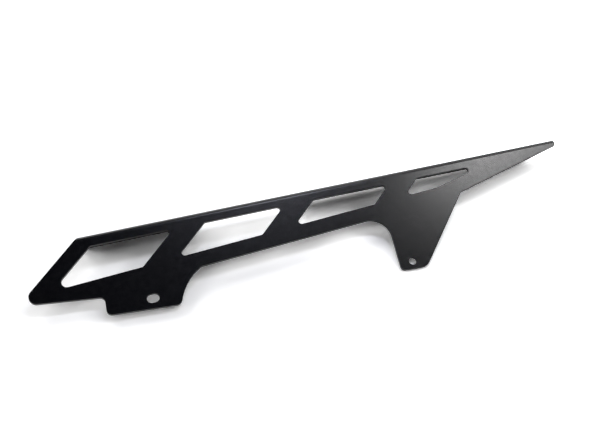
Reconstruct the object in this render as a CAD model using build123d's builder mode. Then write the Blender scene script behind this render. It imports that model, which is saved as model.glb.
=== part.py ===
from build123d import *
import os
from math import atan2, cos, radians, sin

# Motorcycle chain guard: one aluminium sheet, cut to outline, folded once along its straight top edge.
# The front view is drawn looking at the show face: X runs along the fold towards the tail, Y runs up the
# plate to the outside of the fold, and the corner where the front edge meets the fold is (0, 0).
# The finished guard lies at rest with its show face up, on the free edge of the lip and on the rear tab.
# Millimetres and degrees. A drop is a distance below the fold, measured down the plate.

# Sheet and fold
sheet = 3.0
bend_inside = 2.0
edge_break = 0.3

# Lip, folded back from the top edge. Behind its cut-out the free edge is hollow, so the lip stands on
# its front part and on its rear end.
lip_depth = 24.0
lip_hollow = 1.4
lip_start = 2.0
lip_round = 4.0
lip_tail_setback = 6.5
lip_tail_depth = 7.0
lip_tail_slope = 26.0

# Cut-out of the lip behind the second window
notch_start = 93.0
notch_length = 100.0
notch_depth = 8.0
notch_round = 5.0

# Windows, and the slanted struts between them
strut_lean = 41.0
window_count = 4
window_first = 8.2
window_pitch = 100.0
window_width = 72.0
window_rim = 11.2
window_drop = 42.5
window_acute_round = 2.6
window_front_round = 4.7
window_blunt_round = 1.5

# Bar over the chain run, rising towards the tail
bar_rise = 3.2
bar_width = 13.3
bar_start = 95.5
bar_start_round = 6.0

# Nose
nose_strip = 15.3
nose_fall = 7.1
nose_round = 6.7

# Front tab with its slot
front_tab_start = 10.8
front_tab_step = 16.1
front_tab_fall = 4.4
front_tab_end = 71.4
front_tab_relief = 50.0
front_tab_step_round = 4.7
front_tab_round = 4.6
front_tab_rear_round = 5.4
slot_from_front = 39.2
slot_from_edge = 9.1
slot_length = 10.5
slot_width = 8.0

# Rear tab with its round hole
rear_tab_start = 264.8
rear_tab_drop = 94.4
rear_tab_fall = 3.2
rear_tab_width = 24.3
rear_tab_lean = 48.3
rear_tab_arch = 17.6
rear_tab_round = 4.0
rear_tab_rear_round = 9.4
hole_from_front = 12.2
hole_from_edge = 7.0
hole_diameter = 7.0

# Tail
tail_x = 452.5
tail_height = 6.9
tail_lean = 13.85
tail_border = 13.8
tail_round = 2.2
tail_top_round = 1.0
tail_kink_round = 2.0


def along(point, angle, distance):
    """Point at a distance from another one, in the direction of an angle."""
    return point + Vector(distance, 0).rotate(Axis.Z, angle)


def meet(point_a, angle_a, point_b, angle_b):
    """Crossing of two lines, each given by a point and an angle."""
    way_a = Vector(1, 0).rotate(Axis.Z, angle_a)
    way_b = Vector(1, 0).rotate(Axis.Z, angle_b)
    return point_a + way_a * ((point_b - point_a).cross(way_b).Z / way_a.cross(way_b).Z)


def round_corner(sketch, corner, radius):
    """Rounds the corner of a sketch that lies nearest to a point."""
    fillet(sketch.vertices().sort_by_distance(corner)[0], radius)


# Straight lines of the front view, each through one point
window_line = Vector(0, -window_drop)
bar_line = window_line - Vector(0, bar_width / cos(radians(bar_rise)))
nose_line = window_line - Vector(0, nose_strip)

# Corners of the front view, before they are rounded
fold_front = Vector(0, 0)
tail_top = Vector(tail_x, 0)
tail_low = Vector(tail_x, -tail_height)
rear_tab_front = Vector(rear_tab_start, -rear_tab_drop)
rear_tab_rear = along(rear_tab_front, -rear_tab_fall, rear_tab_width)
tail_kink = meet(rear_tab_rear, rear_tab_lean, tail_low, tail_lean)
arch = meet(rear_tab_front, 90 - rear_tab_fall, bar_line, bar_rise)
bar_front = meet(bar_line, bar_rise, Vector(bar_start, 0), 90)
nose = meet(fold_front, strut_lean, nose_line, -nose_fall)
step = meet(nose_line, -nose_fall, Vector(front_tab_start, 0), 90)
front_tab_front = along(step, -90 - front_tab_fall, front_tab_step)
front_tab_rear = meet(front_tab_front, -front_tab_fall, Vector(front_tab_end, 0), 90)

with BuildSketch() as front_view:
    with BuildLine():
        Polyline(bar_front, arch, rear_tab_front, rear_tab_rear, tail_kink, tail_low, tail_top, fold_front)
        Polyline(fold_front, nose, step, front_tab_front, front_tab_rear)
        RadiusArc(front_tab_rear, bar_front, front_tab_relief)
    make_face()
    round_corner(front_view, bar_front, bar_start_round)
    round_corner(front_view, arch, rear_tab_arch)
    round_corner(front_view, rear_tab_front, rear_tab_round)
    round_corner(front_view, rear_tab_rear, rear_tab_rear_round)
    round_corner(front_view, tail_kink, tail_kink_round)
    round_corner(front_view, tail_low, tail_round)
    round_corner(front_view, tail_top, tail_top_round)
    round_corner(front_view, nose, nose_round)
    round_corner(front_view, step, front_tab_step_round)
    round_corner(front_view, front_tab_front, front_tab_round)
    round_corner(front_view, front_tab_rear, front_tab_rear_round)

# The windows are one long opening that ends along the tail's lower edge, bridged by the struts
opening_front = Vector(window_first, -window_rim)
opening_tail = along(tail_low, 90 + tail_lean, tail_border)
strut_over = Vector(sheet, 0).rotate(Axis.Z, strut_lean)
with BuildSketch() as windows:
    with BuildLine():
        Polyline(
            opening_front,
            meet(opening_front, 0, opening_tail, tail_lean),
            meet(opening_tail, tail_lean, window_line, bar_rise),
            meet(opening_front, strut_lean, window_line, bar_rise),
            close=True,
        )
    make_face()
    for index in range(1, window_count):
        strut_rear = opening_front + Vector(index * window_pitch, 0)
        strut_front = strut_rear - Vector(window_pitch - window_width, 0)
        with BuildLine():
            Polyline(
                strut_front + strut_over,
                strut_rear + strut_over,
                meet(strut_rear, strut_lean, window_line, bar_rise) - strut_over,
                meet(strut_front, strut_lean, window_line, bar_rise) - strut_over,
                close=True,
            )
        make_face(mode=Mode.SUBTRACT)
    top_corners = windows.vertices().group_by(Axis.Y)[-1].sort_by(Axis.X)
    low_corners = (windows.vertices() - top_corners).sort_by(Axis.X)
    for blunt_corner in top_corners[0::2] + low_corners[1::2]:
        round_corner(windows, blunt_corner, window_blunt_round)
    for acute_corner in top_corners[1::2] + low_corners[2::2]:
        round_corner(windows, acute_corner, window_acute_round)
    round_corner(windows, low_corners[0], window_front_round)

# View onto the lip from outside the fold: X along the fold, Y is the depth behind the show face
bend_outside = bend_inside + sheet
lip_end = tail_x - lip_tail_setback - lip_tail_slope
notch_end = notch_start + notch_length
with BuildSketch() as lip_view:
    with BuildLine():
        Polyline(
            (nose.X, -sheet),
            (nose.X, bend_outside),
            (lip_start, bend_outside),
            (lip_start, lip_depth),
            (notch_start, lip_depth),
            (notch_start, notch_depth),
            (notch_end, notch_depth),
            (notch_end, lip_depth - lip_hollow),
            (lip_end, lip_depth),
            (lip_end + lip_tail_slope, lip_tail_depth),
            (tail_x, lip_tail_depth),
            (tail_x, -sheet),
            close=True,
        )
    make_face()
    for lip_corner in ((lip_start, lip_depth), (lip_end, lip_depth)):
        round_corner(lip_view, lip_corner, lip_round)
    for notch_corner in ((notch_start, lip_depth), (notch_end, lip_depth - lip_hollow)):
        round_corner(lip_view, notch_corner, notch_round)
    for notch_corner in ((notch_start, notch_depth), (notch_end, notch_depth)):
        round_corner(lip_view, notch_corner, notch_round)

# At rest the inner corner of the lip's free edge and the lowest point of the rear tab touch the ground
front_box = front_view.sketch.bounding_box()
reach = -front_box.min.Y
stand = lip_view.sketch.bounding_box().max.Y
tilt = atan2(stand - sheet, reach - sheet)
middle = (front_box.min.X + front_box.max.X) / 2
height = sheet * sin(tilt) + stand * cos(tilt)
setback = (reach * cos(tilt) - stand * sin(tilt)) / 2
plate = Plane(origin=(-middle, setback, height), x_dir=(1, 0, 0), z_dir=(0, -sin(tilt), cos(tilt)))
plate_up = Axis(plate.origin, plate.z_dir)
fold_end = Plane(origin=plate.from_local_coords((nose.X, 0, 0)), x_dir=plate.y_dir, z_dir=plate.x_dir)
lip_face = Plane(origin=plate.origin, x_dir=plate.x_dir, z_dir=plate.y_dir)

# The sheet as seen from the front, with the windows, the slot and the hole, and broken edges on the show face
slot_foot = along(front_tab_front, -front_tab_fall, slot_from_front)
hole_foot = along(rear_tab_front, -rear_tab_fall, hole_from_front)
with BuildPart() as cut_out:
    with BuildSketch(plate):
        add(front_view.sketch)
        add(windows.sketch, mode=Mode.SUBTRACT)
        with Locations(along(slot_foot, 90 - front_tab_fall, slot_from_edge)):
            SlotOverall(slot_length, slot_width, mode=Mode.SUBTRACT)
        with Locations(along(hole_foot, 90 - rear_tab_fall, hole_from_edge)):
            Circle(hole_diameter / 2, mode=Mode.SUBTRACT)
    extrude(amount=-lip_depth - sheet)
    show_face = cut_out.faces().filter_by(plate_up).sort_by(plate_up)[-1]
    fillet(show_face.edges(), edge_break)

# The folded section, run along the whole length and trimmed to the front view and to the view onto the lip
with BuildPart() as guard:
    with BuildSketch(fold_end) as section:
        with BuildLine():
            Polyline(
                (-reach, 0),
                (0, 0),
                (0, -lip_depth),
                (-sheet, -lip_depth),
                (-sheet, -sheet),
                (-reach, -sheet),
                close=True,
            )
        make_face()
        round_corner(section, (0, 0), bend_outside)
        round_corner(section, (-sheet, -sheet), bend_inside)
    extrude(amount=tail_x - nose.X)
    add(cut_out.part, mode=Mode.INTERSECT)
    with BuildSketch(lip_face):
        add(lip_view.sketch)
    extrude(amount=reach + sheet, both=True, mode=Mode.INTERSECT)

guard.part.label = "chain_guard"
os.makedirs("parts", exist_ok=True)
export_step(guard.part, "parts/chain_guard.step")
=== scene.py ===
import logging
import math
from dataclasses import dataclass
from enum import Enum

import bpy
import numpy as np
from mathutils import Euler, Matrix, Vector

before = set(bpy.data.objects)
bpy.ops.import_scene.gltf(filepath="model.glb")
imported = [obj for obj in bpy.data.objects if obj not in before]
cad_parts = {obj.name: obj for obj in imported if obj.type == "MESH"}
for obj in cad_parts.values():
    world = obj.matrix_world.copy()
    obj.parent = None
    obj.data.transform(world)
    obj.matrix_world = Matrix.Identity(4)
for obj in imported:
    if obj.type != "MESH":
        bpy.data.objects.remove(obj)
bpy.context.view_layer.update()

# A black powder coated chain guard lies on a pale seamless table under soft lamps.
# Lengths are metres and angles degrees. +X runs along the fold to the tail, +Y from the tabs to the fold.

LOG = logging.getLogger("chain_guard_scene")
Triple = tuple[float, float, float]


class Socket(Enum):
    """Inputs of the surface shader that the finishes set or feed."""

    COLOUR = "Base Color"
    ROUGHNESS = "Roughness"
    SPECULAR = "Specular IOR Level"
    NORMAL = "Normal"


class Join(Enum):
    """Ways to work out one value from two."""

    PRODUCT = "MULTIPLY"
    LARGER = "MAXIMUM"


class NodeBench:
    """Adds shader nodes to one material and wires them."""

    def __init__(self, name: str) -> None:
        """Starts an empty material with an output and one surface shader.

        Args:
            name: Name of the material.
        """
        self.material = bpy.data.materials.new(name)
        self.material.use_nodes = True
        self.tree = self.material.node_tree
        self.tree.nodes.clear()
        self.output = self.tree.nodes.new("ShaderNodeOutputMaterial")
        self.shader = self.tree.nodes.new("ShaderNodeBsdfPrincipled")
        self.wire(self.shader.outputs["BSDF"], self.output.inputs["Surface"])
        self.place = self.tree.nodes.new("ShaderNodeTexCoord").outputs["Object"]

    def wire(self, source: bpy.types.NodeSocket, target: bpy.types.NodeSocket) -> None:
        """Joins an output to an input."""
        self.tree.links.new(source, target)

    def noise(self, size: float, detail: float) -> bpy.types.NodeSocket:
        """Value noise whose lumps are about one size across.

        Args:
            size: Width of a lump, in metres.
            detail: Number of finer octaves.

        Returns:
            The noise's value output, around one half.
        """
        node = self.tree.nodes.new("ShaderNodeTexNoise")
        node.inputs["Scale"].default_value = 1.0 / size
        node.inputs["Detail"].default_value = detail
        self.wire(self.place, node.inputs["Vector"])
        return node.outputs["Fac"]

    def spread(
        self, value: bpy.types.NodeSocket, low: float, high: float, start: float = 0.3, end: float = 0.7
    ) -> bpy.types.NodeSocket:
        """Maps a stretch of a value onto a range. The stretch is at first the middle of a noise.

        Args:
            value: Value to map.
            low: Result up to the start of the stretch.
            high: Result from its end on.
            start: Start of the stretch.
            end: End of the stretch.

        Returns:
            The mapped value.
        """
        node = self.tree.nodes.new("ShaderNodeMapRange")
        node.inputs["From Min"].default_value = start
        node.inputs["From Max"].default_value = end
        node.inputs["To Min"].default_value = low
        node.inputs["To Max"].default_value = high
        self.wire(value, node.inputs["Value"])
        return node.outputs["Result"]

    def join(
        self, way: Join, first: bpy.types.NodeSocket, second: bpy.types.NodeSocket
    ) -> bpy.types.NodeSocket:
        """Works out one value from two.

        Args:
            way: How they are joined.
            first: First value.
            second: Second value.

        Returns:
            The joined value.
        """
        node = self.tree.nodes.new("ShaderNodeMath")
        node.operation = way.value
        self.wire(first, node.inputs[0])
        self.wire(second, node.inputs[1])
        return node.outputs["Value"]

    def mix(self, share: bpy.types.NodeSocket, first: Triple, second: Triple) -> bpy.types.NodeSocket:
        """Colour between two others.

        Args:
            share: Part of the second colour.
            first: Linear colour where the share is 0.
            second: Linear colour where the share is 1.

        Returns:
            The mixed colour.
        """
        node = self.tree.nodes.new("ShaderNodeMix")
        node.data_type = "RGBA"
        node.inputs["A"].default_value = (*first, 1.0)
        node.inputs["B"].default_value = (*second, 1.0)
        self.wire(share, node.inputs["Factor"])
        return node.outputs["Result"]

    def bump(
        self, height: bpy.types.NodeSocket, depth: float, under: bpy.types.NodeSocket | None = None
    ) -> bpy.types.NodeSocket:
        """Relief from a height value.

        Args:
            height: Height from 0 to 1.
            depth: Relief from the lowest to the highest point, in metres.
            under: Normal of a coarser relief below this one.

        Returns:
            The bumped normal.
        """
        node = self.tree.nodes.new("ShaderNodeBump")
        node.inputs["Strength"].default_value = 1.0
        node.inputs["Distance"].default_value = depth
        self.wire(height, node.inputs["Height"])
        if under is not None:
            self.wire(under, node.inputs["Normal"])
        return node.outputs["Normal"]

    def set(self, socket: Socket, value: float | bpy.types.NodeSocket) -> None:
        """Sets an input of the surface shader, or feeds it from a node.

        Args:
            socket: Input to set.
            value: A number, or the output that feeds the input.
        """
        target = self.shader.inputs[socket.value]
        if isinstance(value, bpy.types.NodeSocket):
            self.wire(value, target)
        else:
            target.default_value = value


@dataclass(frozen=True)
class PowderCoat:
    """Satin black powder coat: near black, with a fine orange peel and a slightly uneven gloss."""

    name: str = "black_powder_coat"
    dark: Triple = (0.0002, 0.0003, 0.0010)
    pale: Triple = (0.0006, 0.0007, 0.0018)
    specular: float = 0.5
    roughness_low: float = 0.197
    roughness_high: float = 0.237
    cloud_size: float = 0.030
    cloud_detail: float = 3.0
    gloss_size: float = 0.004
    gloss_detail: float = 2.0
    peel_size: float = 0.0022
    peel_depth: float = 0.000012
    grain_size: float = 0.0005
    grain_depth: float = 0.000003
    relief_detail: float = 1.0

    def material(self) -> bpy.types.Material:
        """Builds the coat from noises of four sizes.

        Returns:
            The finished material.
        """
        bench = NodeBench(self.name)
        cloud = bench.spread(bench.noise(self.cloud_size, self.cloud_detail), 0.0, 1.0)
        sheen = bench.noise(self.gloss_size, self.gloss_detail)
        gloss = bench.spread(sheen, self.roughness_low, self.roughness_high)
        peel = bench.bump(bench.noise(self.peel_size, self.relief_detail), self.peel_depth)
        grain = bench.bump(bench.noise(self.grain_size, self.relief_detail), self.grain_depth, peel)
        bench.set(Socket.COLOUR, bench.mix(cloud, self.dark, self.pale))
        bench.set(Socket.ROUGHNESS, gloss)
        bench.set(Socket.NORMAL, grain)
        bench.set(Socket.SPECULAR, self.specular)
        return bench.material


@dataclass(frozen=True)
class TableTop:
    """Matt white surface of the seamless table.

    The camera alone sees it as a brighter white, and more so towards the tail, where this painted light
    lightens the shadows. Further out, the camera and glossy surfaces see an even white.
    """

    name: str = "white_table"
    dark: Triple = (0.930, 0.930, 0.930)
    pale: Triple = (0.945, 0.945, 0.945)
    roughness: float = 0.9
    specular: float = 0.1
    cloud_size: float = 0.4
    cloud_detail: float = 1.0
    # Painted light: camera-only white at the nose and at the tail, and the half length over which it grows.
    painted_light_at_nose: float = 0.16
    painted_light_at_tail: float = 1.61
    painted_light_reach: float = 0.29
    far_start: float = 0.33
    far_end: float = 0.52

    def material(self) -> bpy.types.Material:
        """Builds the matt white.

        A second matt white is added for rays from the camera only, so the picture's white comes from the
        table and not from more light on the object. Towards the tail it is painted light that lightens the
        shadows on the table, which stay.

        Returns:
            The finished material.
        """
        bench = NodeBench(self.name)
        cloud = bench.spread(bench.noise(self.cloud_size, self.cloud_detail), 0.0, 1.0)
        bench.set(Socket.COLOUR, bench.mix(cloud, self.dark, self.pale))
        bench.set(Socket.ROUGHNESS, self.roughness)
        bench.set(Socket.SPECULAR, self.specular)
        path = bench.tree.nodes.new("ShaderNodeLightPath")
        camera, glossy = path.outputs["Is Camera Ray"], path.outputs["Is Glossy Ray"]
        near = self.near_painted_light(bench, camera)
        surface = self.far_white(bench, near, bench.join(Join.LARGER, camera, glossy))
        bench.wire(surface, bench.output.inputs["Surface"])
        return bench.material

    def near_painted_light(self, bench: NodeBench, camera: bpy.types.NodeSocket) -> bpy.types.NodeSocket:
        """Adds a second matt white that only the camera sees.

        It grows with the square of the way from the nose to the tail, as painted light that lightens the
        table's shadows towards the tail.

        Args:
            bench: Bench of the table's material.
            camera: 1 for rays from the camera, or else 0.

        Returns:
            The shader of the table around the object.
        """
        nodes = bench.tree.nodes
        parts = nodes.new("ShaderNodeSeparateXYZ")
        bench.wire(bench.place, parts.inputs["Vector"])
        # Painted light: the camera-only white grows from nose to tail and lightens the shadows towards the
        # tail.
        along = bench.spread(parts.outputs["X"], 0.0, 1.0, -self.painted_light_reach, self.painted_light_reach)
        square = bench.join(Join.PRODUCT, along, along)
        painted_light_share = bench.spread(square, self.painted_light_at_nose, self.painted_light_at_tail, 0.0, 1.0)
        white = nodes.new("ShaderNodeBsdfDiffuse")
        bench.wire(bench.join(Join.PRODUCT, painted_light_share, camera), white.inputs["Color"])
        near = nodes.new("ShaderNodeAddShader")
        bench.wire(bench.shader.outputs["BSDF"], near.inputs[0])
        bench.wire(white.outputs["BSDF"], near.inputs[1])
        return near.outputs["Shader"]

    def far_white(
        self, bench: NodeBench, near: bpy.types.NodeSocket, seen: bpy.types.NodeSocket
    ) -> bpy.types.NodeSocket:
        """Turns the table into an even white away from the object.

        Args:
            bench: Bench of the table's material.
            near: Shader of the table around the object.
            seen: 1 for rays that show the even white, or else 0.

        Returns:
            The shader of the whole table.
        """
        nodes = bench.tree.nodes
        length = nodes.new("ShaderNodeVectorMath")
        length.operation = "LENGTH"
        bench.wire(bench.place, length.inputs[0])
        away = bench.spread(length.outputs["Value"], 0.0, 1.0, self.far_start, self.far_end)
        white = nodes.new("ShaderNodeEmission")
        both = nodes.new("ShaderNodeMixShader")
        bench.wire(bench.join(Join.PRODUCT, away, seen), both.inputs["Fac"])
        bench.wire(near, both.inputs[1])
        bench.wire(white.outputs["Emission"], both.inputs[2])
        return both.outputs["Shader"]


@dataclass
class ChainGuard:
    """The folded sheet, which keeps its solid's mesh and gets its coat."""

    node: str
    coat: PowderCoat

    def dress(self) -> bpy.types.Object:
        """Puts the coat on the sheet.

        Returns:
            The dressed object.
        """
        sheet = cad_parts[self.node]
        sheet.data.materials.clear()
        sheet.data.materials.append(self.coat.material())
        return sheet


@dataclass
class SeamlessTable:
    """Table that is flat under the object and rises to all sides far from it."""

    finish: TableTop
    half_width: float = 4.5
    flat_radius: float = 1.6
    rise: float = 0.22
    steps: int = 96

    def build(self) -> bpy.types.Object:
        """Makes the table.

        On a square grid the height is the rise times the square of the distance by which a point lies
        outside the flat radius, and zero inside it.

        Returns:
            The table's object.
        """
        row = self.steps + 1
        line = np.linspace(-self.half_width, self.half_width, row)
        x, y = np.meshgrid(line, line)
        outside = np.maximum(np.hypot(x, y) - self.flat_radius, 0.0)
        points = np.stack([x, y, self.rise * outside**2], axis=-1).reshape(-1, 3)
        corner = np.arange(self.steps * row).reshape(self.steps, row)[:, :-1].ravel()
        above = corner + row
        quads = np.stack([corner, corner + 1, above + 1, above], axis=1)
        mesh = bpy.data.meshes.new("seamless_table")
        mesh.from_pydata(points.tolist(), [], quads.tolist())
        mesh.shade_smooth()
        mesh.materials.append(self.finish.material())
        table = bpy.data.objects.new("seamless_table", mesh)
        bpy.context.scene.collection.objects.link(table)
        return table


@dataclass(frozen=True)
class SoftLamp:
    """Soft box that points at the object. One that is not in gloss shows in no reflection."""

    name: str
    azimuth: float
    elevation: float
    width: float
    height: float
    power: float
    distance: float = 2.0
    colour: Triple = (1.0, 1.0, 1.0)
    in_gloss: bool = True

    def build(self) -> bpy.types.Object:
        """Hangs the lamp.

        The azimuth is counted from +Y towards +X, and the elevation from the table.

        Returns:
            The lamp's object.
        """
        lamp = bpy.data.lights.new(self.name, "AREA")
        lamp.shape = "RECTANGLE"
        lamp.size = self.width
        lamp.size_y = self.height
        lamp.energy = self.power
        lamp.color = self.colour
        turn, lift = math.radians(self.azimuth), math.radians(self.elevation)
        way = Vector((math.sin(turn) * math.cos(lift), math.cos(turn) * math.cos(lift), math.sin(lift)))
        holder = bpy.data.objects.new(self.name, lamp)
        holder.location = way * self.distance
        holder.rotation_euler = way.to_track_quat("Z", "Y").to_euler()
        holder.visible_camera = False
        holder.visible_glossy = self.in_gloss
        bpy.context.scene.collection.objects.link(holder)
        return holder


@dataclass(frozen=True)
class RoomLight:
    """Weak even light from the room."""

    colour: Triple = (1.0, 1.0, 1.0)
    strength: float = 0.003

    def build(self) -> bpy.types.World:
        """Sets the world.

        Returns:
            The scene's world.
        """
        world = bpy.data.worlds.new("room")
        world.use_nodes = True
        back = world.node_tree.nodes["Background"]
        back.inputs["Color"].default_value = (*self.colour, 1.0)
        back.inputs["Strength"].default_value = self.strength
        bpy.context.scene.world = world
        return world


@dataclass(frozen=True)
class PhotoCamera:
    """Camera at the photograph's place, found from the straight edges of the sheet."""

    location: Triple = (-0.21605, -0.46894, 0.71571)
    turn: Triple = (36.9340, -3.9684, -17.5842)
    lens: float = 59.4
    sensor: float = 36.0

    def build(self) -> bpy.types.Object:
        """Sets up the scene's camera.

        Returns:
            The camera's object.
        """
        data = bpy.data.cameras.new("photo_camera")
        data.lens = self.lens
        data.sensor_width = self.sensor
        camera = bpy.data.objects.new("photo_camera", data)
        camera.location = self.location
        camera.rotation_euler = Euler([math.radians(angle) for angle in self.turn], "XYZ")
        bpy.context.scene.collection.objects.link(camera)
        bpy.context.scene.camera = camera
        return camera


LAMPS = (
    SoftLamp("right_box", azimuth=66.8, elevation=55.0, width=0.24, height=0.50, power=5.14, distance=1.9),
    SoftLamp(
        "back_box",
        azimuth=27.5,
        elevation=66.0,
        width=0.39,
        height=0.22,
        power=4.34,
        distance=1.9,
        colour=(0.94, 0.97, 1.12),
    ),
    SoftLamp("left_back", azimuth=330.0, elevation=32.0, width=0.90, height=0.50, power=14.4),
    SoftLamp("right_wall", azimuth=90.0, elevation=32.0, width=0.90, height=0.50, power=13.0),
    SoftLamp("left_wall", azimuth=270.0, elevation=32.0, width=0.90, height=0.50, power=6.1),
    SoftLamp("top_left", azimuth=240.0, elevation=66.0, width=0.80, height=0.60, power=2.8),
    SoftLamp("back_low", azimuth=8.0, elevation=24.0, width=1.00, height=0.40, power=4.0),
    SoftLamp("back_right", azimuth=38.0, elevation=36.0, width=1.20, height=0.80, power=3.6),
    SoftLamp("low_left", azimuth=300.0, elevation=9.0, width=1.05, height=0.22, power=49.0, in_gloss=False),
    SoftLamp("low_right", azimuth=120.0, elevation=9.0, width=1.05, height=0.22, power=6.3, in_gloss=False),
    SoftLamp("low_front", azimuth=150.0, elevation=3.0, width=1.05, height=0.22, power=26.2, in_gloss=False),
)


def main() -> None:
    """Dresses the guard and sets up the table, the lamps and the camera."""
    logging.basicConfig(level=logging.INFO, format="%(name)s: %(message)s")
    guard = ChainGuard("chain_guard", PowderCoat()).dress()
    LOG.info("dressed %s", guard.name)
    LOG.info("laid %s", SeamlessTable(TableTop()).build().name)
    for lamp in LAMPS:
        LOG.info("hung %s", lamp.build().name)
    LOG.info("lit %s", RoomLight().build().name)
    LOG.info("placed %s", PhotoCamera().build().name)
    bpy.context.scene.view_settings.view_transform = "Standard"


if __name__ == "__main__":
    main()
